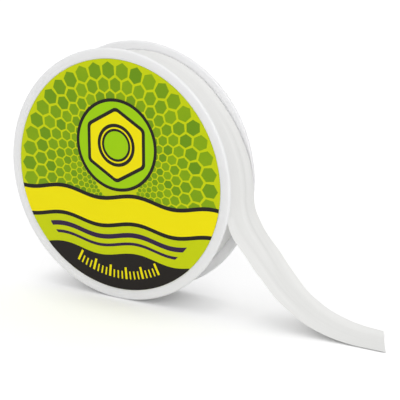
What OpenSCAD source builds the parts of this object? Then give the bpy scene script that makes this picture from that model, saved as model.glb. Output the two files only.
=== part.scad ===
// Roll of thread seal tape: a snap-together flanged spool, a label disc, the wound tape and its free end.
// Millimetres. +Z is up, Y runs along the spool's axis from front to back, and the tape leaves towards +X.
// The origin is on the axis, halfway between the flanges.

/* [Tape] */
// width of the tape
tape_w = 12.7; // [6:0.1:25]
// thickness of one layer
tape_t = 0.076; // [0.05:0.001:0.2]
// length of tape wound on the hub, in metres
tape_m = 38.1; // [5:0.1:60]
// play between the innermost layer and the hub
hub_fit = 0.02; // [0.01:0.01:0.1]
// room under the loosened outermost turn
turn_gap = 0.1; // [0.02:0.01:0.2]
// angle that the outermost turn covers, in degrees
turn_span = 300; // [250:1:320]

/* [Free end] */
// angle above level at which the tape leaves the roll, in degrees
leave_angle = 45; // [10:1:60]
// length that still curves with the roll
lift_len = 30.5; // [10:0.5:60]
// how much larger than the roll's the radius of that length is
lift_slack = 1.75; // [0.5:0.05:10]
// length of the bend away from the roll
bend_len = 13.5; // [4:0.5:40]
// how far that bend turns, in degrees
bend_turn = 45; // [10:1:80]
// length of the bend that lays the tape flat
lay_len = 33.5; // [10:0.5:60]
// length that lies flat
flat_len = 7.5; // [1:0.5:60]
// largest turn of the back edge about the front edge, in degrees
twist = 13.5; // [0:0.5:25]
// how far the end drifts towards the front
drift = 1; // [0:0.1:6]
// how much further the front edge reaches than the back edge
skew_cut = 6; // [0:0.5:15]

/* [Spool] */
// diameter of the hub that the tape is wound on
hub_d = 35; // [20:0.5:60]
// diameter of the hub's bore
bore_d = 31; // [10:0.5:50]
// thickness of a flange
flange_t = 1.2; // [0.8:0.1:4]
// height of the flanges above the tape
flange_lip = 2.8; // [0.5:0.05:10]
// room between a flange and the tape's edge
side_gap = 0.2; // [0.1:0.05:1]
// width of the raised rim on the outside of a flange
rim_w = 3.05; // [1:0.05:10]
// depth of the recess inside the rim
recess = 0.35; // [0.1:0.05:0.8]
// width of the ledge between that recess and the rim's lip
ledge_w = 1.4; // [0.5:0.1:3]
// depth of the ledge below the lip
ledge_d = 0.12; // [0.05:0.01:0.3]
// width of the raised ring around the bore at the back
boss_w = 4; // [2:0.5:10]

/* [Snap joint] */
// wall of the hub around the socket
socket_wall = 1; // [0.6:0.1:3]
// radial play of the spigot in the socket
spigot_gap = 0.05; // [0.02:0.01:0.2]
// length of the spigot
spigot_len = 5; // [3:0.5:12]
// play between the spigot's end and the socket's shoulder
shoulder_gap = 0.15; // [0.05:0.05:0.5]
// number of slots that split the spigot into fingers
slot_count = 6; // [3:1:10]
// width of a slot
slot_w = 2; // [0.5:0.1:5]
// length of spigot that a slot leaves whole
slot_root = 1; // [0.5:0.1:3]
// height of the snap bead on the fingers
bead_h = 0.3; // [0.1:0.05:0.5]
// distance of the bead from the spigot's end
bead_set = 0.8; // [0.5:0.1:2]

/* [Label] */
// thickness of the label
label_t = 0.2; // [0.05:0.05:0.5]
// radial play of the label in its recess
label_gap = 0.1; // [0.05:0.05:0.5]

/* [Hidden] */
$fn = 96;
spool_color = [0.90, 0.90, 0.92];
label_color = [0.72, 0.79, 0.10];
tape_color = [0.95, 0.95, 0.94];
mm_per_m = 1000;
overcut = 1;

// Radii of the spool and of the wound tape, whose cross-section is its length times its thickness
hub_r = hub_d / 2;
bore_r = bore_d / 2;
socket_r = hub_r - socket_wall;
spigot_r = socket_r - spigot_gap;
pack_in_r = hub_r + hub_fit;
pack_r = sqrt(pack_in_r * pack_in_r + tape_m * mm_per_m * tape_t / PI);
turn_in_r = pack_r + turn_gap;
turn_r = turn_in_r + tape_t;
flange_r = turn_r + flange_lip;
recess_r = flange_r - rim_w;
ledge_r = recess_r + ledge_w;

// Places along the axis, counted from the middle of the roll
inner_face = tape_w / 2 + side_gap;
outer_face = inner_face + flange_t;
recess_face = outer_face - recess;
ledge_face = outer_face - ledge_d;
spigot_end = inner_face - spigot_len;
shoulder = spigot_end - shoulder_gap;
bead_place = spigot_end + bead_set;

// The free end's front edge is a chain of arcs, seen along the axis: each row is a length and its turn.
tail_r = turn_in_r + tape_t / 2;
lift_turn = lift_len / (tail_r + lift_slack) * 180 / PI;
tail_start = tail_r * [cos(leave_angle), sin(leave_angle)];
tail_heading = leave_angle - 90;
slope = tail_heading - lift_turn + bend_turn;
floor_z = -flange_r;
lift_end = arc_point(tail_start, tail_heading, lift_len, -lift_turn);
bend_end = arc_point(lift_end, tail_heading - lift_turn, bend_len, bend_turn);
lay_drop = arc_point([0, 0], slope, lay_len, -slope)[1];
slope_len = (floor_z + tape_t / 2 - bend_end[1] - lay_drop) / sin(slope);
tail_chain = [
    [lift_len, -lift_turn],
    [bend_len, bend_turn],
    [slope_len, 0],
    [lay_len, -slope],
    [flat_len, 0]
];
tail_len = lift_len + bend_len + slope_len + lay_len + flat_len;
tail_rings = 64;

// Along the free end, as shares of its length: where it twists most, how far the twist spreads, where it drifts
twist_middle = 0.39;
twist_spread = 0.38;
drift_from = 0.3;
drift_to = 0.65;

function smooth(x) = let (c = min(max(x, 0), 1)) c * c * (3 - 2 * c);

// point reached from p along an arc of a given length that turns a heading
function arc_point(p, heading, length, turn) =
    abs(turn) < 0.001
        ? p + length * [cos(heading), sin(heading)]
        : p + length * 180 / (PI * turn)
            * [sin(heading + turn) - sin(heading), cos(heading) - cos(heading + turn)];

// [x, z, heading] at a distance s along the chain
function tail_at(s, p = tail_start, heading = tail_heading, i = 0) =
    let (length = tail_chain[i][0], turn = tail_chain[i][1], last = i == len(tail_chain) - 1)
    s <= length || last
        ? let (q = arc_point(p, heading, s, turn * s / length)) [q[0], q[1], heading + turn * s / length]
        : tail_at(s - length, arc_point(p, heading, length, turn), heading + turn, i + 1);

// corner of the strip at a distance s: side is 0 at the front edge and 1 at the back, face is 1 outside
function tail_corner(s, side, face) =
    let (
        at = tail_at(s),
        share = s / tail_len,
        roll = twist * smooth(1 - abs(share - twist_middle) / twist_spread),
        y = -tape_w / 2 - drift * smooth((share - drift_from) / (drift_to - drift_from)),
        up = [-sin(at[2]), 0, cos(at[2])],
        across = cos(roll) * [0, 1, 0] + sin(roll) * up,
        out = cos(roll) * up - sin(roll) * [0, 1, 0]
    )
    [at[0], y, at[1]] + side * tape_w * across + face * tape_t / 2 * out;

function tail_ring(s) =
    let (back = s * (1 - skew_cut / tail_len))
    [tail_corner(s, 0, 1), tail_corner(back, 1, 1), tail_corner(back, 1, -1), tail_corner(s, 0, -1)];

// distance from a point of the strip to the other end of the outermost turn, or to its surface beyond that end
function turn_distance(p) =
    let (
        end_angle = leave_angle + turn_span - 360,
        angle = atan2(p[2], p[0]),
        radius = norm([p[0], p[2]])
    )
    angle > end_angle
        ? norm([p[0], p[2]] - turn_r * [cos(end_angle), sin(end_angle)])
        : radius - turn_r;

// lays a shape that was built along Z, front upwards, along the spool's axis
module on_axis() {
    rotate([90, 0, 0])
        children();
}

module revolve() {
    on_axis()
        rotate_extrude()
            children();
}

module box2d(r0, r1, h0, h1) {
    translate([r0, h0])
        square([r1 - r0, h1 - h0]);
}

// half-section of the front flange from the axis out: a round rim, and a ledge and a recess in its face
module flange_section(recess_from) {
    edge_r = flange_t / 2;
    difference() {
        union() {
            box2d(0, flange_r - edge_r, inner_face, outer_face);
            translate([flange_r - edge_r, inner_face + edge_r])
                circle(edge_r);
        }
        box2d(recess_from, recess_r, recess_face, outer_face + overcut);
        box2d(recess_r - overcut, ledge_r, ledge_face, outer_face + overcut);
    }
}

module spool_body() {
    color(spool_color)
        revolve()
            difference() {
                union() {
                    mirror([0, 1])
                        flange_section(hub_r + boss_w);
                    box2d(bore_r, hub_r, -outer_face, inner_face);
                }
                box2d(-overcut, bore_r, -outer_face - overcut, inner_face + overcut);
                box2d(0, socket_r, shoulder, inner_face + overcut);
                translate([socket_r, bead_place])
                    circle(bead_h + spigot_gap);
            }
}

module spool_cap() {
    color(spool_color)
        difference() {
            revolve()
                union() {
                    flange_section(-overcut);
                    box2d(bore_r, spigot_r, spigot_end, recess_face);
                    intersection() {
                        translate([spigot_r, bead_place])
                            circle(bead_h);
                        box2d(bore_r, hub_r, spigot_end, inner_face);
                    }
                }
            on_axis()
                for (i = [0 : slot_count - 1])
                    rotate([0, 0, i * 360 / slot_count])
                        translate([0, -slot_w / 2, spigot_end - overcut])
                            cube([hub_r, slot_w, spigot_len - slot_root + overcut]);
        }
}

module front_label() {
    color(label_color)
        revolve()
            box2d(0, recess_r - label_gap, recess_face, recess_face + label_t);
}

module tape_pack() {
    color(tape_color)
        revolve()
            box2d(pack_in_r, pack_r, -tape_w / 2, tape_w / 2);
}

module tape_outer_turn() {
    color(tape_color)
        on_axis()
            rotate([0, 0, leave_angle])
                rotate_extrude(angle = turn_span)
                    box2d(turn_in_r, turn_r, -tape_w / 2, tape_w / 2);
}

module tape_tail() {
    rings = [for (i = [0 : tail_rings]) tail_ring(tail_len * i / tail_rings)];
    points = [for (ring = rings) each ring];
    sides = [
        for (i = [0 : tail_rings - 1], k = [0 : 3])
            let (a = 4 * i + k, b = 4 * i + (k + 1) % 4)
            each k < 2 ? [[a, b, b + 4], [a, b + 4, a + 4]] : [[a, b, a + 4], [b, b + 4, a + 4]]
    ];
    last = 4 * tail_rings;
    ends = [[0, 2, 1], [0, 3, 2], [last, last + 1, last + 2], [last, last + 2, last + 3]];
    color(tape_color)
        polyhedron(points, concat(sides, ends));
    clear = [for (i = [tail_rings / 8 : tail_rings], c = [2, 3]) turn_distance(rings[i][c])];
    echo(least_gap_of_the_strip_to_itself = min(clear));
}

spool_body();
spool_cap();
front_label();
tape_pack();
tape_outer_turn();
tape_tail();
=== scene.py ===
"""Dresses the roll of thread seal tape: spool, label, wound tape and free end, on a pale studio floor."""

import logging
import math
from dataclasses import dataclass
from enum import Enum
from typing import Callable, Optional, Sequence, Union

import bmesh
import bpy
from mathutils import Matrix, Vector


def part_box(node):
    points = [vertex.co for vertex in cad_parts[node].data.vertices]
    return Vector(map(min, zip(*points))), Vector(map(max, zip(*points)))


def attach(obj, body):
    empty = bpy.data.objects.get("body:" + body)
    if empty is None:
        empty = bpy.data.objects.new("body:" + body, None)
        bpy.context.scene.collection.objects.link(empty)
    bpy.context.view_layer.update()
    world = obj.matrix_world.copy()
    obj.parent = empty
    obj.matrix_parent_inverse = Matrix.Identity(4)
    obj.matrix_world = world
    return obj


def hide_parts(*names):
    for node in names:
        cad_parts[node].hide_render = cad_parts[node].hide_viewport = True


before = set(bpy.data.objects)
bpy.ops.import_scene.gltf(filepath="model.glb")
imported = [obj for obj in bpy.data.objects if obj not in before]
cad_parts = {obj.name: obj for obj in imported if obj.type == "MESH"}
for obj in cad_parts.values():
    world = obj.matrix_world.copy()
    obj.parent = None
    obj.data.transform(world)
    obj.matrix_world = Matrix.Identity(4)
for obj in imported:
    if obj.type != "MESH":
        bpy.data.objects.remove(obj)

LOG = logging.getLogger("tape_roll")
MM = 0.001
GRAIN = "surface_grain"
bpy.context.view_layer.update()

Flat = tuple[float, float]
Place = tuple[float, float, float]
Colour = tuple[float, float, float]
Socket = bpy.types.NodeSocket
Object = bpy.types.Object
Material = bpy.types.Material
Mesh = bmesh.types.BMesh
Row = list[bmesh.types.BMVert]
Feed = Union[Socket, Material, float, str, tuple]


class Body(Enum):
    """The two bodies of the roll."""

    LEAD = "lead"
    SPOOL = "spool"


class Slot(Enum):
    """Names of two material slots, label and tape, which nothing here reads."""

    LABEL = "label"
    TAPE = "tape"


def srgb(red: int, green: int, blue: int) -> Colour:
    """Turn a screen colour into the linear one that shaders use.

    Args:
        red: Red, from 0 to 255.
        green: Green, from 0 to 255.
        blue: Blue, from 0 to 255.

    Returns:
        The linear colour.
    """

    def linear(level: int) -> float:
        """Linear value of one channel, by the standard curve."""
        share = level / 255
        return share / 12.92 if share <= 0.04045 else ((share + 0.055) / 1.055) ** 2.4

    return linear(red), linear(green), linear(blue)


def smooth(x: float) -> float:
    """Ease from 0 to 1 as x goes from 0 to 1."""
    x = min(max(x, 0.0), 1.0)
    return x * x * (3 - 2 * x)


def log_piece(piece: Object, note: str) -> None:
    """Report a finished piece."""
    LOG.info("%s: %s, %d faces", piece.name, note, len(piece.data.polygons))


def new_object(name: str, data: bpy.types.ID) -> Object:
    """Put an object at the scene's origin.

    Args:
        name: Its name.
        data: Its mesh, lamp or camera.

    Returns:
        The object.
    """
    thing = bpy.data.objects.new(name, data)
    bpy.context.collection.objects.link(thing)
    return thing


def new_piece(name: str, mesh: Mesh, material: Material) -> Object:
    """Turn a mesh into a piece.

    Args:
        name: The piece's name.
        mesh: Its mesh, which is used up.
        material: Its material.

    Returns:
        The piece.
    """
    data = bpy.data.meshes.new(name)
    mesh.to_mesh(data)
    mesh.free()
    data.materials.append(material)
    return new_object(name, data)


def join_roll(piece: Object, body: Body, note: str) -> None:
    """Make a new piece a part of the roll.

    Args:
        piece: The piece, with its place in its mesh.
        body: The body that it rides on.
        note: What it is, for the log.
    """
    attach(piece, body.value)
    log_piece(piece, note)


def paint_node(node: str, material: Material, note: str) -> None:
    """Give a CAD node, which keeps its shape, a better material.

    Args:
        node: The node's name.
        material: The material.
        note: What the node is, for the log.
    """
    piece = bpy.data.objects[node]
    for slot in piece.material_slots:
        slot.material = material
    log_piece(piece, note)


class NodePen:
    """Writes nodes and links into one node tree."""

    def __init__(self, tree: bpy.types.NodeTree) -> None:
        """Keep the tree to write into."""
        self.tree = tree

    def add(self, kind: str, **settings: object) -> bpy.types.Node:
        """Add a node.

        Args:
            kind: The node's type.
            settings: Properties to set on it.

        Returns:
            The new node.
        """
        node = self.tree.nodes.new(kind)
        for name, value in settings.items():
            setattr(node, name, value)
        return node

    def feed(self, socket: Socket, value: Feed) -> None:
        """Link a socket to another one, or set its own value.

        Args:
            socket: The input socket.
            value: The socket to link it to, or the value.
        """
        if isinstance(value, Socket):
            self.tree.links.new(value, socket)
        else:
            socket.default_value = value

    def fill(self, node: bpy.types.Node, **values: Feed) -> bpy.types.Node:
        """Feed a node's inputs by name, with _ for a blank.

        Args:
            node: The node.
            values: A value or a socket for each input.

        Returns:
            The same node.
        """
        for name, value in values.items():
            self.feed(node.inputs[name.replace("_", " ")], value)
        return node

    def math(self, operation: str, a: Feed, b: Feed = 0.0) -> Socket:
        """Add a math node.

        Args:
            operation: The node's operation.
            a: Its first operand.
            b: Its second operand.

        Returns:
            The result's socket.
        """
        node = self.add("ShaderNodeMath", operation=operation)
        self.feed(node.inputs[0], a)
        self.feed(node.inputs[1], b)
        return node.outputs[0]

    def plus(self, a: Feed, b: Feed) -> Socket:
        """Add two values."""
        return self.math("ADD", a, b)

    def minus(self, a: Feed, b: Feed) -> Socket:
        """Take the second value from the first."""
        return self.math("SUBTRACT", a, b)

    def times(self, a: Feed, b: Feed) -> Socket:
        """Multiply two values."""
        return self.math("MULTIPLY", a, b)

    def over(self, a: Feed, b: Feed) -> Socket:
        """Divide the first value by the second."""
        return self.math("DIVIDE", a, b)

    def vector(self, x: Feed = 0.0, y: Feed = 0.0, z: Feed = 0.0) -> Socket:
        """Put three values together."""
        return self.fill(self.add("ShaderNodeCombineXYZ"), X=x, Y=y, Z=z).outputs[0]

    def polar(self, radius: Feed, angle: Feed) -> tuple[Socket, Socket]:
        """Find both coordinates of a point of a circle."""
        cosine, sine = self.math("COSINE", angle), self.math("SINE", angle)
        return self.times(radius, cosine), self.times(radius, sine)

    def blend(self, share: Feed, a: Feed, b: Feed) -> Socket:
        """Mix two colours.

        Args:
            share: How much of the second one shows.
            a: The first colour.
            b: The second colour.

        Returns:
            The mixed colour's socket.
        """
        node = self.add("ShaderNodeMix", data_type="RGBA")
        # The node's sockets 6, 7 and 2 are those for colours.
        for number, value in ((0, share), (6, a), (7, b)):
            self.feed(node.inputs[number], value)
        return node.outputs[2]

    def noise(self, vector: Feed, scale: Feed, detail: float) -> Socket:
        """Read a noise of a given frequency and number of octaves."""
        node = self.add("ShaderNodeTexNoise")
        return self.fill(node, Vector=vector, Scale=scale, Detail=detail).outputs["Fac"]

    def ramp(self, value: Feed, start: float, end: float, low: float = 0.0, high: float = 1.0) -> Socket:
        """Ease from one level to another over a range of a value.

        Args:
            value: The value.
            start: Where the range starts.
            end: Where it ends.
            low: The level before it.
            high: The level after it.

        Returns:
            The socket of the level.
        """
        node = self.add("ShaderNodeMapRange", interpolation_type="SMOOTHSTEP")
        for number, given in enumerate((value, start, end, low, high)):
            self.feed(node.inputs[number], given)
        return node.outputs[0]

    def index(self) -> Socket:
        """Number the points."""
        return self.add("GeometryNodeInputIndex").outputs[0]

    def store(self, geometry: Feed, name: str, value: Feed, domain: str = "POINT") -> Socket:
        """Store a named value on each point or instance."""
        node = self.add("GeometryNodeStoreNamedAttribute", data_type="FLOAT", domain=domain)
        return self.fill(node, Geometry=geometry, Name=name, Value=value).outputs[0]

    def stored(self, name: str) -> Socket:
        """Read a stored value again."""
        node = self.add("GeometryNodeInputNamedAttribute", data_type="FLOAT")
        return self.fill(node, Name=name).outputs[0]

    def chance(self, seed: int, **number: Feed) -> Socket:
        """Draw a random share by a fixed seed, and by an ID where one is given."""
        node = self.add("FunctionNodeRandomValue", data_type="FLOAT")
        return self.fill(node, Seed=seed, **number).outputs[1]


def add_grain() -> None:
    """Build the shared surface grain: a fine moulded texture, slow clouds of tone and sparse rubbed spots."""
    tree = bpy.data.node_groups.new(GRAIN, "ShaderNodeTree")
    kinds = {"Vector": "NodeSocketVector", "Fine": "NodeSocketFloat", "Cloud": "NodeSocketFloat"}
    for name, kind in kinds.items():
        tree.interface.new_socket(name, in_out="INPUT", socket_type=kind)
    for name in ("Grain", "Clouds", "Rubbed"):
        tree.interface.new_socket(name, in_out="OUTPUT", socket_type="NodeSocketFloat")
    pen = NodePen(tree)
    given = pen.add("NodeGroupInput").outputs
    fine = pen.noise(given["Vector"], given["Fine"], detail=4.0)
    cloud = pen.noise(given["Vector"], given["Cloud"], detail=2.0)
    rubbed = pen.ramp(pen.times(fine, cloud), start=0.30, end=0.42)
    pen.fill(pen.add("NodeGroupOutput"), Grain=fine, Clouds=cloud, Rubbed=rubbed)


@dataclass(frozen=True)
class StreaksAndFoldShade:
    """Calender lines along the film, and broad bands of painted shade that stand in for the shading of soft
    folds. A pair says how often they change per metre along and across.
    """

    lines: Flat = (18.0, 900.0)
    # broad bands of painted shade, standing in for the shading of soft folds along the film
    bands: Flat = (9.0, 210.0)
    shade: float = 0.84
    strength: float = 0.7
    relief: float = 0.6

    @staticmethod
    def drawn(pen: NodePen, changes: Flat) -> Socket:
        """Draw the calender lines, or the broad bands of painted fold shade.

        Args:
            pen: Writes into the material.
            changes: How often they change per metre along and across.

        Returns:
            The socket of their strength.
        """
        stretch = pen.add("ShaderNodeMapping")
        flat = pen.add("ShaderNodeTexCoord").outputs["UV"]
        pen.fill(stretch, Vector=flat, Scale=(*changes, 1.0))
        return pen.noise(stretch.outputs["Vector"], 1.0, detail=4.0)


@dataclass(frozen=True)
class Finish:
    """A finish of one piece: its colours, gloss and grain."""

    name: str
    base: Colour
    cloud: Colour
    roughness: float
    rough_spread: float = 0.08
    fine: float = 2600.0
    cloud_scale: float = 60.0
    bump: float = 0.05
    bump_depth: float = 0.02 * MM
    specular: float = 0.5
    sheen: float = 0.0
    scatter: float = 0.0
    scatter_reach: float = 1.6 * MM
    tone: Optional[Colour] = None
    streaks_and_fold_shade: Optional[StreaksAndFoldShade] = None

    def material(self) -> Material:
        """Build the finish as a node material.

        Returns:
            The material.
        """
        material = bpy.data.materials.new(self.name)
        material.use_nodes = True
        pen = NodePen(material.node_tree)
        surface = pen.add("ShaderNodeGroup", node_tree=bpy.data.node_groups[GRAIN])
        place = pen.add("ShaderNodeTexCoord").outputs["Object"]
        pen.fill(surface, Vector=place, Fine=self.fine, Cloud=self.cloud_scale)
        colour = pen.blend(surface.outputs["Clouds"], (*self.base, 1), (*self.cloud, 1))
        height = surface.outputs["Grain"]
        if self.tone:
            tone = pen.add("ShaderNodeAttribute", attribute_name="tone").outputs["Fac"]
            colour = pen.blend(tone, colour, (*self.tone, 1))
        if self.streaks_and_fold_shade:
            colour, height = self.streaked_and_shaded(pen, colour, height)
        spread = pen.times(surface.outputs["Rubbed"], self.rough_spread)
        bump = pen.add("ShaderNodeBump")
        pen.fill(bump, Strength=self.bump, Distance=self.bump_depth, Height=height)
        pen.fill(
            material.node_tree.nodes["Principled BSDF"],
            Base_Color=colour,
            Roughness=pen.plus(spread, self.roughness),
            Normal=bump.outputs["Normal"],
            Specular_IOR_Level=self.specular,
            Sheen_Weight=self.sheen,
            Subsurface_Weight=self.scatter,
            Subsurface_Radius=(1.0, 1.0, 1.0),
            Subsurface_Scale=self.scatter_reach,
        )
        return material

    def streaked_and_shaded(self, pen: NodePen, colour: Socket, height: Socket) -> tuple[Socket, Socket]:
        """Draw the calender lines and the painted fold shade over a colour and a height.

        Args:
            pen: Writes into the material.
            colour: The colour under them.
            height: The grain's height.

        Returns:
            The sockets of the streaked and shaded colour, and of the height.
        """
        streaks_and_fold_shade = self.streaks_and_fold_shade
        lines, bands = streaks_and_fold_shade.drawn(pen, streaks_and_fold_shade.lines), streaks_and_fold_shade.drawn(pen, streaks_and_fold_shade.bands)
        # painted shade: the calender lines darken the film where the broad bands of painted fold shade run
        shown = pen.times(pen.times(lines, bands), streaks_and_fold_shade.strength)
        darker = tuple(streaks_and_fold_shade.shade * level for level in self.cloud)
        grainy = pen.times(height, 1 - streaks_and_fold_shade.relief)
        relief = pen.plus(grainy, pen.times(lines, streaks_and_fold_shade.relief))
        return pen.blend(shown, colour, (*darker, 1)), relief


@dataclass(frozen=True)
class Ink(Finish):
    """A printing ink of the label, which shines less than the plastic."""

    roughness: float = 0.42
    specular: float = 0.14


SPOOL_PLASTIC = Finish(
    "spool_plastic", srgb(241, 241, 242), srgb(237, 237, 238), 0.34,
    rough_spread=0.10, bump=0.04, scatter=0.5,
)
# the film's colour carries calender lines and bands of painted fold shade
TAPE_FILM = Finish(
    "tape_film", srgb(240, 240, 238), srgb(236, 236, 234), 0.58,
    rough_spread=0.05, fine=1500.0, bump=0.08, specular=0.35, sheen=0.05, streaks_and_fold_shade=StreaksAndFoldShade(),
)
PACK_EDGE = Finish(
    "tape_pack_edge", srgb(240, 240, 238), srgb(235, 235, 233), 0.62,
    bump=0.15, specular=0.35, scatter=0.35,
)
LABEL_GROUND = Ink("label_ground", srgb(197, 212, 8), srgb(211, 219, 8), cloud_scale=90.0)
LABEL_CELL = Ink(
    "label_cell_ink", srgb(130, 169, 12), srgb(148, 179, 12), cloud_scale=240.0, tone=srgb(108, 150, 18)
)
LABEL_LIME = Ink("label_lime_ink", srgb(156, 210, 8), srgb(170, 215, 8))
LABEL_YELLOW = Ink("label_yellow_ink", srgb(252, 238, 2), srgb(245, 229, 2))
LABEL_BLACK = Ink("label_black_ink", srgb(31, 27, 25), srgb(37, 33, 30))
LABEL_PURPLE = Ink("label_purple_ink", srgb(48, 30, 64), srgb(56, 38, 70))


class Outline:
    """Flat outlines, counter-clockwise, in the label's plane."""

    @staticmethod
    def ring(centre: Flat, radius: float, turns: Sequence[float]) -> list[Flat]:
        """Points of a circle at given angles."""
        return [(centre[0] + radius * math.cos(a), centre[1] + radius * math.sin(a)) for a in turns]

    @staticmethod
    def circle(centre: Flat, radius: float, count: int = 96) -> list[Flat]:
        """Points of a circle, evenly spaced."""
        return Outline.ring(centre, radius, [2 * math.pi * i / count for i in range(count)])

    @staticmethod
    def rounded_hexagon(centre: Flat, radius: float, fillet: float, steps: int = 16) -> list[Flat]:
        """Points of a hexagon with round corners, one corner upwards.

        Args:
            centre: Its centre.
            radius: Distance of the sharp corners from the centre.
            fillet: Radius of the corners.
            steps: Points of one corner, and of one flat.

        Returns:
            The points.
        """
        inset = radius - fillet / math.cos(math.pi / 6)
        corners = []
        for corner in range(6):
            middle = math.pi / 2 + corner * math.pi / 3
            turns = [middle + math.pi / 3 * (step / (steps - 1) - 0.5) for step in range(steps)]
            corners.append(Outline.ring(Outline.ring(centre, inset, [middle])[0], fillet, turns))
        points = []
        for here, there in zip(corners, corners[1:] + corners[:1]):
            (u, v), (next_u, next_v) = here[-1], there[0]
            shares = [k / (steps + 1) for k in range(1, steps + 1)]
            points += here + [(u + t * (next_u - u), v + t * (next_v - v)) for t in shares]
        return points

    @staticmethod
    def round_hole(outline: Sequence[Flat], centre: Flat, radius: float) -> list[Flat]:
        """Points of a circle inside an outline, one towards each of its points."""
        turns = [math.atan2(v - centre[1], u - centre[0]) for u, v in outline]
        return Outline.ring(centre, radius, turns)

    @staticmethod
    def between(
        low: Callable[[float], float], high: Callable[[float], float], radius: float, steps: int = 160
    ) -> list[Flat]:
        """Points of the area of a disc between two curves.

        Args:
            low: Height of the lower curve over the way across.
            high: Height of the upper curve.
            radius: Radius of the disc.
            steps: Steps across the disc, which are finer at its sides.

        Returns:
            The points, along the lower curve and back along the upper one.
        """
        lower, upper = [], []
        for i in range(steps + 1):
            u = radius * math.sin(math.pi * (i / steps - 0.5))
            half = math.sqrt(max(radius * radius - u * u, 0.0))
            bottom, top = max(low(u), -half), min(high(u), half)
            if bottom < top:
                lower.append((u, bottom))
                upper.append((u, top))
        return lower + upper[::-1]


@dataclass
class InkSheet:
    """One ink of the label: thin closed films on one layer of the print, gathered into one mesh."""

    name: str
    finish: Finish
    face_y: float
    layer: int
    film: float = 0.015 * MM

    def __post_init__(self) -> None:
        """Start an empty mesh."""
        self.mesh = bmesh.new()

    def print_area(self, outline: Sequence[Flat], hole: Sequence[Flat] = ()) -> None:
        """Print an area.

        Args:
            outline: Its edge, counter-clockwise.
            hole: The edge of a hole in it, with as many points, or nothing.
        """
        front, back = self.face_y - self.layer * self.film, self.face_y + self.film
        rings = [
            [self.mesh.verts.new((u, y, v)) for u, v in edge]
            for edge in (outline, hole) if edge
            for y in (front, back)
        ]
        self.strip(rings[1], rings[0])
        if hole:
            self.strip(rings[2], rings[3])
            self.strip(rings[0], rings[2])
            self.strip(rings[3], rings[1])
        else:
            self.mesh.faces.new(rings[0])
            self.mesh.faces.new(rings[1][::-1])

    def strip(self, first: Row, second: Row) -> None:
        """Close the strip between two rings of points.

        Args:
            first: The points of one ring.
            second: As many points of the other ring.
        """
        for i in range(len(first)):
            j = (i + 1) % len(first)
            self.mesh.faces.new((first[i], first[j], second[j], second[i]))

    def finished(self) -> None:
        """Turn the films into a piece that rides on the spool."""
        bmesh.ops.recalc_face_normals(self.mesh, faces=self.mesh.faces)
        piece = new_piece(self.name, self.mesh, self.finish.material())
        join_roll(piece, Body.SPOOL, "ink of the label")


@dataclass
class ShapeTree:
    """A geometry node tree with named inputs that makes one piece."""

    name: str
    inputs: dict[str, float]

    def __post_init__(self) -> None:
        """Make the tree with its inputs and its output."""
        self.tree = bpy.data.node_groups.new(self.name, "GeometryNodeTree")
        face = self.tree.interface
        self.sockets = {
            name: face.new_socket(name, in_out="INPUT", socket_type="NodeSocketFloat") for name in self.inputs
        }
        face.new_socket("Geometry", in_out="OUTPUT", socket_type="NodeSocketGeometry")
        self.pen = NodePen(self.tree)
        self.given = self.pen.add("NodeGroupInput").outputs

    def on_label(self, points: Feed, shape: Feed, turn: Feed, scale: Feed) -> Socket:
        """Put a shape on points of the label's plane, which is XY here, with its front up.

        Args:
            points: The points.
            shape: The shape.
            turn: Its angle about the plane's normal.
            scale: Its size.

        Returns:
            The socket of the instances.
        """
        pen = self.pen
        rotation = pen.add("FunctionNodeEulerToRotation")
        pen.feed(rotation.inputs[0], pen.vector(z=turn))
        copies = pen.add("GeometryNodeInstanceOnPoints")
        pen.fill(copies, Points=points, Instance=shape, Rotation=rotation.outputs[0], Scale=scale)
        return copies.outputs[0]

    def stood_up(self, instances: Feed, face_y: float) -> Socket:
        """Stand instances of the label's plane up on the label's face.

        Args:
            instances: The socket of the instances.
            face_y: Where the label's face lies along Y.

        Returns:
            The socket of the instances in their place.
        """
        node = self.pen.add("GeometryNodeTransform")
        place, upright = (0.0, face_y, 0.0), (math.pi / 2, 0.0, 0.0)
        return self.pen.fill(node, Geometry=instances, Translation=place, Rotation=upright).outputs[0]

    def finish(self, geometry: Feed, material: Material) -> Object:
        """Turn what the tree makes into a piece with a plain mesh.

        Args:
            geometry: The socket of what it makes.
            material: The material of the piece.

        Returns:
            The piece.
        """
        pen = self.pen
        real = pen.fill(pen.add("GeometryNodeRealizeInstances"), Geometry=geometry).outputs[0]
        painted = pen.fill(pen.add("GeometryNodeSetMaterial"), Geometry=real, Material=material)
        pen.fill(pen.add("NodeGroupOutput"), Geometry=painted.outputs[0])
        piece = new_object(self.name, bpy.data.meshes.new(self.name))
        modifier = piece.modifiers.new(self.name, "NODES")
        modifier.node_group = self.tree
        for name, value in self.inputs.items():
            modifier[self.sockets[name].identifier] = value
        graph = bpy.context.evaluated_depsgraph_get()
        plain = bpy.data.meshes.new_from_object(piece.evaluated_get(graph))
        piece.modifiers.remove(modifier)
        piece.data = plain
        return piece


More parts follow.
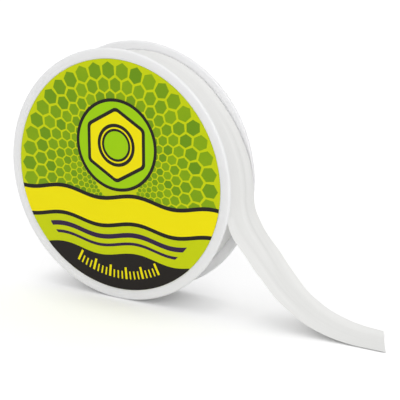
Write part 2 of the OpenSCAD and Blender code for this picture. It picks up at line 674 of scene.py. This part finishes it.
@dataclass
class LabelDisc:
    """The printed disc in the front flange. Heights, widths and lengths are shares of its radius."""

    stripe_top: float = -0.20
    stripe_height: float = 0.21
    stripe_edge: float = 0.035
    line_tops: tuple[float, ...] = (-0.505, -0.590)
    line_heights: tuple[float, ...] = (0.042, 0.026)
    line_reach: float = 0.86
    foot_top: float = -0.69
    swell: float = 0.028
    swell_length: float = 0.74
    badge_centre: Flat = (0.0, 0.27)
    badge_radius: float = 0.40
    badge_edge: float = 0.028
    nut_radius: float = 0.33
    nut_fillet: float = 0.06
    nut_hole: float = 0.12
    nut_edge: float = 0.035
    face_fillet: float = 0.045
    face_hole: float = 0.185
    thread_ring: Flat = (0.155, 0.142)
    cells_in_ring: float = 42.0
    cell_rings: float = 10.0
    cell_share: float = 0.073
    cell_stretch: float = 1.12
    cell_films: float = 2.0
    cell_seed: int = 7
    ring_step: float = 0.865
    print_reach: float = 0.905
    tick_count: float = 21.0
    tick_first: float = math.radians(243)
    tick_span: float = math.radians(54)
    tick_length: float = 0.07
    tick_width: float = 0.014
    tick_films: float = 5.0
    long_every: float = 4.0
    long_growth: float = 0.5

    def __post_init__(self) -> None:
        """Read the disc's place from the frame."""
        low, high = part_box("front_label")
        self.radius = (high[0] - low[0]) / 2
        self.face_y = low[1]

    def swelling(self, height: float) -> Callable[[float], float]:
        """Make a swelling line across the disc at a mean height."""
        wave = 2 * math.pi / (self.swell_length * self.radius)
        return lambda u: self.radius * (height + self.swell * math.sin(wave * u))

    def dress(self) -> None:
        """Give the disc its ground and print its inks."""
        paint_node("front_label", LABEL_GROUND.material(), "ground of the label")
        self.print_cells()
        self.print_ticks()
        self.print_bands()
        self.print_badge()

    def print_cells(self) -> None:
        """Print rings of hexagonal cells that grow towards the edge."""
        tree = ShapeTree("label_cells", {
            "Reach": self.print_reach * self.radius,
            "Cells in ring": self.cells_in_ring,
            "Rings": self.cell_rings,
            "Ring step": self.ring_step,
            "Cell share": self.cell_share,
            "Cell stretch": self.cell_stretch,
            "Floor": (self.stripe_top - self.stripe_height / 2) * self.radius,
            "Film": self.cell_films * InkSheet.film,
        })
        pen, given = tree.pen, tree.given
        index, in_ring = pen.index(), given["Cells in ring"]
        ring = pen.math("FLOOR", pen.over(pen.plus(index, 0.5), in_ring))
        cell = pen.minus(index, pen.times(ring, in_ring))
        cell = pen.plus(cell, pen.times(ring, 0.5))
        angle = pen.over(pen.times(cell, 2 * math.pi), in_ring)
        radius = pen.times(given["Reach"], pen.math("POWER", given["Ring step"], ring))
        count = pen.times(given["Rings"], in_ring)
        points = pen.add("GeometryNodePoints")
        pen.fill(points, Count=count, Position=pen.vector(*pen.polar(radius, angle)))
        turned = pen.store(points.outputs[0], "turn", angle)
        sized = pen.store(turned, "size", pen.times(radius, given["Cell share"]))
        spot = pen.add("ShaderNodeSeparateXYZ")
        pen.feed(spot.inputs[0], pen.add("GeometryNodeInputPosition").outputs[0])
        below = pen.math("LESS_THAN", spot.outputs["Y"], given["Floor"])
        kept = pen.add("GeometryNodeDeleteGeometry", domain="POINT")
        pen.fill(kept, Geometry=sized, Selection=below)
        hexagon = pen.add("GeometryNodeMeshCylinder")
        pen.fill(hexagon, Vertices=6, Radius=1.0, Depth=given["Film"])
        size = pen.stored("size")
        scale = pen.vector(pen.times(size, given["Cell stretch"]), size, 1.0)
        copies = tree.on_label(kept.outputs[0], hexagon.outputs["Mesh"], pen.stored("turn"), scale)
        toned = pen.store(copies, "tone", pen.chance(self.cell_seed), domain="INSTANCE")
        piece = tree.finish(tree.stood_up(toned, self.face_y), LABEL_CELL.material())
        join_roll(piece, Body.SPOOL, "cells of the label")

    def print_ticks(self) -> None:
        """Print a plain scale of ticks along the lower edge."""
        tree = ShapeTree("label_ticks", {
            "Count": self.tick_count,
            "Reach": self.print_reach * self.radius,
            "First angle": self.tick_first,
            "Span": self.tick_span,
            "Length": self.tick_length * self.radius,
            "Width": self.tick_width * self.radius,
            "Long every": self.long_every,
            "Long growth": self.long_growth,
            "Film": self.tick_films * InkSheet.film,
        })
        pen, given = tree.pen, tree.given
        index = pen.index()
        step = pen.over(given["Span"], pen.minus(given["Count"], 1.0))
        angle = pen.plus(given["First angle"], pen.times(index, step))
        long = pen.math("LESS_THAN", pen.math("MODULO", index, given["Long every"]), 0.5)
        growth = pen.plus(1.0, pen.times(long, given["Long growth"]))
        length = pen.times(given["Length"], growth)
        width = pen.times(given["Width"], growth)
        radius = pen.minus(given["Reach"], pen.times(length, 0.5))
        points = pen.add("GeometryNodePoints")
        pen.fill(points, Count=given["Count"], Position=pen.vector(*pen.polar(radius, angle)))
        bar = pen.fill(pen.add("GeometryNodeMeshCube"), Size=(1.0, 1.0, 1.0))
        scale = pen.vector(length, width, given["Film"])
        copies = tree.on_label(points.outputs[0], bar.outputs["Mesh"], angle, scale)
        piece = tree.finish(tree.stood_up(copies, self.face_y), LABEL_YELLOW.material())
        join_roll(piece, Body.SPOOL, "ticks of the label")

    def print_bands(self) -> None:
        """Print the swelling stripe, two thin lines and the dark foot."""
        purple = InkSheet("label_thin_lines", LABEL_PURPLE, self.face_y, layer=1)
        black = InkSheet("label_black_bands", LABEL_BLACK, self.face_y, layer=2)
        yellow = InkSheet("label_yellow_stripe", LABEL_YELLOW, self.face_y, layer=3)
        low, high, edge = self.stripe_top - self.stripe_height, self.stripe_top, self.stripe_edge
        line, between = self.swelling, Outline.between
        black.print_area(between(line(low - edge), line(high + edge), self.radius))
        black.print_area(between(lambda u: -self.radius, line(self.foot_top), self.radius))
        yellow.print_area(between(line(low), line(high), self.radius))
        for top, height in zip(self.line_tops, self.line_heights):
            purple.print_area(between(line(top - height), line(top), self.line_reach * self.radius))
        for sheet in (black, yellow, purple):
            sheet.finished()

    def print_badge(self) -> None:
        """Print a round badge with a hexagonal pipe fitting seen end-on."""
        r = self.radius
        centre = (self.badge_centre[0] * r, self.badge_centre[1] * r)
        lime = InkSheet("label_badge_ground", LABEL_LIME, self.face_y, layer=3)
        black = InkSheet("label_badge_outlines", LABEL_BLACK, self.face_y, layer=4)
        yellow = InkSheet("label_badge_fitting", LABEL_YELLOW, self.face_y, layer=5)
        disc = Outline.circle(centre, self.badge_radius * r)
        lime.print_area(disc)
        black.print_area(disc, Outline.circle(centre, (self.badge_radius - self.badge_edge) * r))
        face_radius = self.nut_radius - self.nut_edge
        for sheet, reach, fillet, hole in (
            (black, self.nut_radius, self.nut_fillet, self.nut_hole),
            (yellow, face_radius, self.face_fillet, self.face_hole),
        ):
            flats = Outline.rounded_hexagon(centre, reach * r, fillet * r)
            sheet.print_area(flats, Outline.round_hole(flats, centre, hole * r))
        yellow.print_area(*(Outline.circle(centre, radius * r) for radius in self.thread_ring))
        for sheet in (lime, black, yellow):
            sheet.finished()


@dataclass
class TapeRoute:
    """The strip's way round the roll, off it and down to the floor, in the sizes of the part's source."""

    tape_w: float = 12.7 * MM
    tape_t: float = 0.076 * MM
    turn_gap: float = 0.1 * MM
    turn_span: float = math.radians(300)
    leave_angle: float = math.radians(45)
    lift_len: float = 30.5 * MM
    lift_slack: float = 1.75 * MM
    bend_len: float = 13.5 * MM
    bend_turn: float = math.radians(45)
    lay_len: float = 33.5 * MM
    flat_len: float = 7.5 * MM
    twist: float = math.radians(13.5)
    drift: float = 1.0 * MM
    skew_cut: float = 6.0 * MM
    twist_middle: float = 0.39
    twist_spread: float = 0.38
    drift_from: float = 0.30
    drift_to: float = 0.65

    def __post_init__(self) -> None:
        """Chain the arcs of the free end from the roll down to the floor."""
        self.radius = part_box("tape_pack")[1][0] + self.turn_gap + self.tape_t / 2
        self.start = (self.radius * math.cos(self.leave_angle), self.radius * math.sin(self.leave_angle))
        self.heading = self.leave_angle - math.pi / 2
        lift_turn = self.lift_len / (self.radius + self.lift_slack)
        slope = self.heading - lift_turn + self.bend_turn
        lifted = self.arc(self.start, self.heading, self.lift_len, -lift_turn)
        bent = self.arc(lifted, self.heading - lift_turn, self.bend_len, self.bend_turn)
        drop = self.arc((0.0, 0.0), slope, self.lay_len, -slope)[1]
        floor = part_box("spool_cap")[0][2] + self.tape_t / 2
        slope_len = (floor - bent[1] - drop) / math.sin(slope)
        self.chain = [
            (self.lift_len, -lift_turn), (self.bend_len, self.bend_turn), (slope_len, 0.0),
            (self.lay_len, -slope), (self.flat_len, 0.0),
        ]
        self.tail_len = sum(length for length, _ in self.chain)
        self.turn_len = self.turn_span * self.radius

    @staticmethod
    def arc(point: Flat, heading: float, length: float, turn: float) -> Flat:
        """Go along an arc.

        Args:
            point: Where it starts.
            heading: The way it starts.
            length: Its length.
            turn: The angle that it turns, 0 for a straight line.

        Returns:
            Where it ends.
        """
        if turn == 0:
            return point[0] + length * math.cos(heading), point[1] + length * math.sin(heading)
        radius = length / turn
        return (
            point[0] + radius * (math.sin(heading + turn) - math.sin(heading)),
            point[1] + radius * (math.cos(heading) - math.cos(heading + turn)),
        )

    def at(self, distance: float) -> tuple[Flat, float]:
        """Find a place on the strip's front edge.

        Args:
            distance: Length from where the strip leaves the roll, negative round the roll.

        Returns:
            The place in X and Z, and the heading.
        """
        if distance <= 0:
            angle = self.leave_angle - distance / self.radius
            return (self.radius * math.cos(angle), self.radius * math.sin(angle)), angle - math.pi / 2
        point, heading = self.start, self.heading
        for length, turn in self.chain[:-1]:
            if distance <= length:
                part = turn * distance / length
                return self.arc(point, heading, distance, part), heading + part
            point, heading = self.arc(point, heading, length, turn), heading + turn
            distance -= length
        return self.arc(point, heading, distance, 0.0), heading

    def section(self, distance: float, across: float) -> tuple[Vector, Vector]:
        """Find a point in the middle of the strip's thickness.

        Args:
            distance: Length along the strip, as for at.
            across: Share of the width, from the front edge to the back.

        Returns:
            The point, and the outward normal there.
        """
        if distance > 0:
            distance *= 1 - across * self.skew_cut / self.tail_len
        share = distance / self.tail_len
        (x, z), heading = self.at(distance)
        roll = self.twist * smooth(1 - abs(share - self.twist_middle) / self.twist_spread)
        drifted = smooth((share - self.drift_from) / (self.drift_to - self.drift_from))
        up = Vector((-math.sin(heading), 0.0, math.cos(heading)))
        side = Vector((0.0, 1.0, 0.0))
        reach = side * math.cos(roll) + up * math.sin(roll)
        normal = up * math.cos(roll) - side * math.sin(roll)
        edge = Vector((x, -self.tape_w / 2 - self.drift * drifted, z))
        return edge + reach * (across * self.tape_w), normal


@dataclass(frozen=True)
class Crease:
    """A soft ridge along the film. Its places are shares of the free end's length and of the width."""

    first: float
    last: float
    across_first: float
    across_last: float
    width: float
    height: float
    ease: float = 0.16

    def lift(self, share: float, across: float) -> float:
        """Find how high the ridge stands at a place.

        Args:
            share: Share of the free end's length, negative round the roll.
            across: Share of the width, from the front edge.

        Returns:
            The height along the film's normal.
        """
        shown = smooth((share - self.first) / self.ease) * smooth((self.last - share) / self.ease)
        along = (share - self.first) / (self.last - self.first)
        middle = self.across_first + along * (self.across_last - self.across_first)
        return self.height * shown * math.exp(-(((across - middle) / self.width) ** 2))


CREASES = (
    Crease(-0.35, 0.40, 1.02, 0.86, width=0.12, height=0.45 * MM),
    Crease(0.02, 0.66, 0.68, 0.55, width=0.085, height=0.42 * MM),
    Crease(0.25, 0.82, 0.14, 0.34, width=0.10, height=0.32 * MM),
    Crease(0.48, 1.12, 1.04, 1.02, width=0.15, height=1.10 * MM),
    Crease(0.74, 1.16, 0.00, 0.00, width=0.16, height=0.30 * MM),
)


@dataclass
class Tape:
    """The wound tape and the strip that comes off it, which is free between two shares of its free end."""

    turn_steps: int = 180
    tail_steps: int = 150
    columns: int = 28
    strip_crisp: float = math.radians(40)
    free_from: float = 0.12
    free_ease: float = 0.25
    free_to: float = 0.86
    lay_ease: float = 0.2
    ripple: float = 0.10 * MM
    ripple_length: float = 11.0 * MM
    ripple_shift: float = 1.9
    crown: float = 0.16 * MM
    layers: int = 46
    segments: int = 160
    bore_radius: float = 17.52 * MM
    edge_jitter: float = 0.06 * MM
    jitter_seed: int = 11
    layer_crisp: float = math.radians(30)
    weld: float = 0.0001 * MM

    def __post_init__(self) -> None:
        """Work out the strip's way."""
        self.route = TapeRoute()

    def lifted(self, distance: float, across: float) -> float:
        """Find how far the film stands off its ideal way, where it is free.

        Args:
            distance: Length along the strip.
            across: Share of the width.

        Returns:
            The height along the film's normal.
        """
        share = distance / self.route.tail_len
        free = smooth((share - self.free_from) / self.free_ease)
        free *= smooth((self.free_to - share) / self.lay_ease)
        side = 2 * across - 1
        wave = 2 * math.pi * distance / self.ripple_length + (0.0 if side < 0 else self.ripple_shift)
        edges = self.ripple * side * side * math.sin(wave)
        creased = sum(crease.lift(share, across) for crease in CREASES)
        return free * (edges + self.crown * (1 - side * side)) + creased

    def build_strip(self) -> None:
        """Build the outermost turn and the free end as one closed strip of film."""
        route = self.route
        stations = [-route.turn_len * (1 - i / self.turn_steps) for i in range(self.turn_steps)]
        stations += [route.tail_len * i / self.tail_steps for i in range(self.tail_steps + 1)]
        mesh = bmesh.new()
        flat_places = {}
        sides = []
        for face in (1, -1):
            rows = []
            for distance in stations:
                row = []
                for column in range(self.columns + 1):
                    across = column / self.columns
                    point, normal = route.section(distance, across)
                    height = self.lifted(distance, across) + face * route.tape_t / 2
                    row.append(mesh.verts.new(point + normal * height))
                    flat_places[row[-1]] = (distance + route.turn_len, across * route.tape_w)
                rows.append(row)
            sides.append(rows)
        self.close_strip(mesh, *sides)
        self.smooth_strip(mesh, flat_places)
        piece = new_piece("tape_strip", mesh, TAPE_FILM.material())
        join_roll(piece, Body.LEAD, "outermost turn and free end")
        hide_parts("tape_outer_turn", "tape_tail")

    def close_strip(self, mesh: Mesh, outer: list[Row], inner: list[Row]) -> None:
        """Put faces between the rows of points of both sides of the film.

        Args:
            mesh: The mesh.
            outer: The outer side's rows.
            inner: The inner side's rows.
        """
        last = len(outer) - 1
        for i in range(last):
            for c in range(self.columns):
                mesh.faces.new((outer[i][c], outer[i + 1][c], outer[i + 1][c + 1], outer[i][c + 1]))
                mesh.faces.new((inner[i][c], inner[i][c + 1], inner[i + 1][c + 1], inner[i + 1][c]))
            for c in (0, self.columns):
                mesh.faces.new((outer[i][c], inner[i][c], inner[i + 1][c], outer[i + 1][c]))
        for end in (0, last):
            for c in range(self.columns):
                mesh.faces.new((outer[end][c], outer[end][c + 1], inner[end][c + 1], inner[end][c]))
        bmesh.ops.recalc_face_normals(mesh, faces=mesh.faces)

    def smooth_strip(self, mesh: Mesh, flat_places: dict[bmesh.types.BMVert, Flat]) -> None:
        """Shade the film smooth up to its edges, and lay it out flat in a UV map.

        Args:
            mesh: The mesh.
            flat_places: Each point's place on the flat film, in metres.
        """
        uv = mesh.loops.layers.uv.new("strip")
        for face in mesh.faces:
            face.smooth = True
            for loop in face.loops:
                loop[uv].uv = flat_places[loop.vert]
        for edge in mesh.edges:
            edge.smooth = edge.calc_face_angle(0.0) < self.strip_crisp

    def build_windings(self) -> None:
        """Build the tight windings, whose layers end a little unevenly at both sides.

        A grid is wound up: one way it goes round the axis, the other way out over the layers' ends at the
        back and in again over those at the front. What is added before a FLOOR keeps it clear of rounding.
        """
        outer_radius, half_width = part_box("tape_pack")[1][:2]
        tree = ShapeTree("tape_windings", {
            "Bore radius": self.bore_radius,
            "Layer step": (outer_radius - self.bore_radius) / self.layers,
            "Layers": float(self.layers),
            "Half width": half_width,
            "Edge jitter": self.edge_jitter,
            "Segments": float(self.segments),
            "Crisp angle": self.layer_crisp,
            "Weld": self.weld,
        })
        pen, given = tree.pen, tree.given
        corners = pen.times(given["Layers"], 4.0)
        row = pen.plus(corners, 1.0)
        grid = pen.add("GeometryNodeMeshGrid")
        pen.fill(grid, Vertices_X=pen.plus(given["Segments"], 1.0), Vertices_Y=row)
        index = pen.index()
        station = pen.math("FLOOR", pen.over(pen.plus(index, 0.5), row))
        corner = pen.minus(index, pen.times(station, row))
        corner = pen.math("MODULO", corner, corners)
        half_way = pen.minus(pen.times(given["Layers"], 2.0), 0.5)
        front = pen.math("GREATER_THAN", corner, half_way)
        way_back = pen.times(2.0, pen.minus(half_way, corner))
        rung = pen.plus(corner, pen.times(front, way_back))
        layer = pen.math("FLOOR", pen.plus(pen.times(rung, 0.5), 0.1))
        steps_out = pen.minus(rung, layer)
        radius = pen.plus(given["Bore radius"], pen.times(steps_out, given["Layer step"]))
        number = pen.plus(layer, pen.times(front, given["Layers"]))
        uneven = pen.times(given["Edge jitter"], pen.chance(self.jitter_seed, ID=number))
        side = pen.minus(1.0, pen.times(front, 2.0))
        reach = pen.times(side, pen.minus(given["Half width"], uneven))
        turn = pen.over(pen.times(station, 2 * math.pi), given["Segments"])
        x, z = pen.polar(radius, turn)
        wound = pen.add("GeometryNodeSetPosition")
        pen.fill(wound, Geometry=grid.outputs["Mesh"], Position=pen.vector(x, reach, z))
        closed = pen.add("GeometryNodeMergeByDistance")
        pen.fill(closed, Geometry=wound.outputs[0], Distance=given["Weld"])
        soft = pen.add("GeometryNodeSetShadeSmooth", domain="FACE")
        pen.fill(soft, Geometry=closed.outputs[0], Shade_Smooth=True)
        angle = pen.add("GeometryNodeInputMeshEdgeAngle").outputs["Unsigned Angle"]
        sharp = pen.math("GREATER_THAN", angle, given["Crisp angle"])
        crisp = pen.add("GeometryNodeSetShadeSmooth", domain="EDGE")
        pen.fill(crisp, Geometry=soft.outputs[0], Selection=sharp, Shade_Smooth=False)
        piece = tree.finish(crisp.outputs[0], PACK_EDGE.material())
        join_roll(piece, Body.SPOOL, "tight windings")
        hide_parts("tape_pack")


@dataclass
class Spool:
    """The two spool mouldings, which keep their CAD shapes."""

    nodes: tuple[str, ...] = ("spool_body", "spool_cap")

    def dress(self) -> None:
        """Give both mouldings the same white plastic."""
        plastic = SPOOL_PLASTIC.material()
        for node in self.nodes:
            paint_node(node, plastic, "moulding of the spool")


@dataclass(frozen=True)
class Softbox:
    """A square lamp that points at the roll. Its power is in watts."""

    name: str
    place: Place
    size: float
    power: float

    def hang(self) -> None:
        """Hang the lamp in its place."""
        light = bpy.data.lights.new(self.name, "AREA")
        light.size = self.size
        light.energy = self.power
        lamp = new_object(self.name, light)
        lamp.location = self.place
        lamp.rotation_euler = (-Vector(self.place)).to_track_quat("-Z", "Y").to_euler()


SOFTBOXES = (
    Softbox("overhead_softbox", (-0.22, 0.0, 0.88), size=0.45, power=1.15),
    Softbox("side_softbox", (1.0, -0.1, 0.8), size=1.8, power=1.6),
    Softbox("low_fill", (0.85, -0.65, 0.10), size=0.9, power=2.2),
    Softbox("front_softbox", (0.45, -1.0, 0.55), size=0.6, power=2.4),
)


@dataclass
class Studio:
    """The floor, the light and the camera."""

    camera_place: Place = (0.2275, -0.3503, 0.1136)
    camera_way: Place = (-0.4821, 0.8294, -0.2823)
    lens: float = 130.5
    clip_start: float = 0.01
    floor_half: float = 4.0
    floor_grey: float = 0.82
    # the floor's glow is lower near the roll than far from it, as painted shade
    near_glow: float = 0.32
    far_glow: float = 0.46
    glow_from: float = 0.040
    glow_to: float = 0.150
    contact_reach: float = 0.015
    world_light: float = 0.64

    def set_up(self) -> None:
        """Make the camera, the floor, the world and the lamps."""
        scene = bpy.context.scene
        scene.view_settings.view_transform = "Standard"
        self.add_camera(scene)
        self.add_floor()
        self.add_world(scene)
        for softbox in SOFTBOXES:
            softbox.hang()

    def add_camera(self, scene: bpy.types.Scene) -> None:
        """Place the camera as the photograph was taken.

        Args:
            scene: The scene that it films.
        """
        camera = new_object("camera", bpy.data.cameras.new("camera"))
        camera.data.lens = self.lens
        camera.data.clip_start = self.clip_start
        camera.location = self.camera_place
        camera.rotation_euler = Vector(self.camera_way).to_track_quat("-Z", "Y").to_euler()
        scene.camera = camera

    @staticmethod
    def seen_directly(pen: NodePen) -> Socket:
        """Tell camera, glossy and transmission rays from the others.

        Args:
            pen: Writes into the material or the world.

        Returns:
            The socket of the answer.
        """
        path = pen.add("ShaderNodeLightPath").outputs
        seen = pen.math("MAXIMUM", path["Is Camera Ray"], path["Is Glossy Ray"])
        return pen.math("MAXIMUM", seen, path["Is Transmission Ray"])

    def add_floor(self) -> None:
        """Lay a pale floor under the roll, which keeps its shadow."""
        half, height = self.floor_half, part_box("spool_cap")[0][2]
        corners = [(x, y, height) for x, y in ((-half, -half), (half, -half), (half, half), (-half, half))]
        data = bpy.data.meshes.new("floor")
        data.from_pydata(corners, [], [(0, 1, 2, 3)])
        data.materials.append(self.floor_paper_and_painted_shade())
        new_object("floor", data)

    def floor_paper_and_painted_shade(self) -> Material:
        """Build the floor's paper, whose glow for direct rays carries painted shade: it whitens the floor
        away from the roll and keeps it dark at its contact.

        Returns:
            The material.
        """
        material = bpy.data.materials.new("floor_paper_and_painted_shade")
        material.use_nodes = True
        material.node_tree.nodes.clear()
        pen = NodePen(material.node_tree)
        paper = pen.fill(pen.add("ShaderNodeBsdfDiffuse"), Color=(*[self.floor_grey] * 3, 1))
        away = pen.add("ShaderNodeVectorMath", operation="LENGTH")
        pen.feed(away.inputs[0], pen.add("ShaderNodeTexCoord").outputs["Object"])
        # painted shade: the glow is weaker near the roll, and ambient occlusion dims it more at the contact,
        # which paints a contact shadow
        glow_dimmed_near_roll = pen.ramp(away.outputs["Value"], self.glow_from, self.glow_to, self.near_glow, self.far_glow)
        painted_contact_shade = pen.fill(pen.add("ShaderNodeAmbientOcclusion"), Distance=self.contact_reach)
        glow_with_painted_shade = pen.times(glow_dimmed_near_roll, painted_contact_shade.outputs["AO"])
        glow = pen.add("ShaderNodeEmission")
        pen.fill(glow, Strength=pen.times(self.seen_directly(pen), glow_with_painted_shade))
        both = pen.add("ShaderNodeAddShader")
        pen.feed(both.inputs[0], paper.outputs[0])
        pen.feed(both.inputs[1], glow.outputs[0])
        pen.fill(pen.add("ShaderNodeOutputMaterial"), Surface=both.outputs[0])
        return material

    def add_world(self, scene: bpy.types.Scene) -> None:
        """Fill the room with even light, and show white behind the roll.

        Args:
            scene: The scene that it lights.
        """
        world = bpy.data.worlds.new("studio")
        world.use_nodes = True
        scene.world = world
        pen = NodePen(world.node_tree)
        seen = self.seen_directly(pen)
        rest = pen.times(pen.minus(1.0, seen), self.world_light)
        strength = pen.plus(seen, rest)
        pen.fill(world.node_tree.nodes["Background"], Color=(1, 1, 1, 1), Strength=strength)


def main() -> None:
    """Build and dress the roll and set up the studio."""
    logging.basicConfig(level=logging.INFO, format="%(name)s %(message)s")
    Studio().set_up()
    add_grain()
    tape = Tape()
    tape.build_windings()
    tape.build_strip()
    Spool().dress()
    LabelDisc().dress()


if __name__ == "__main__":
    main()
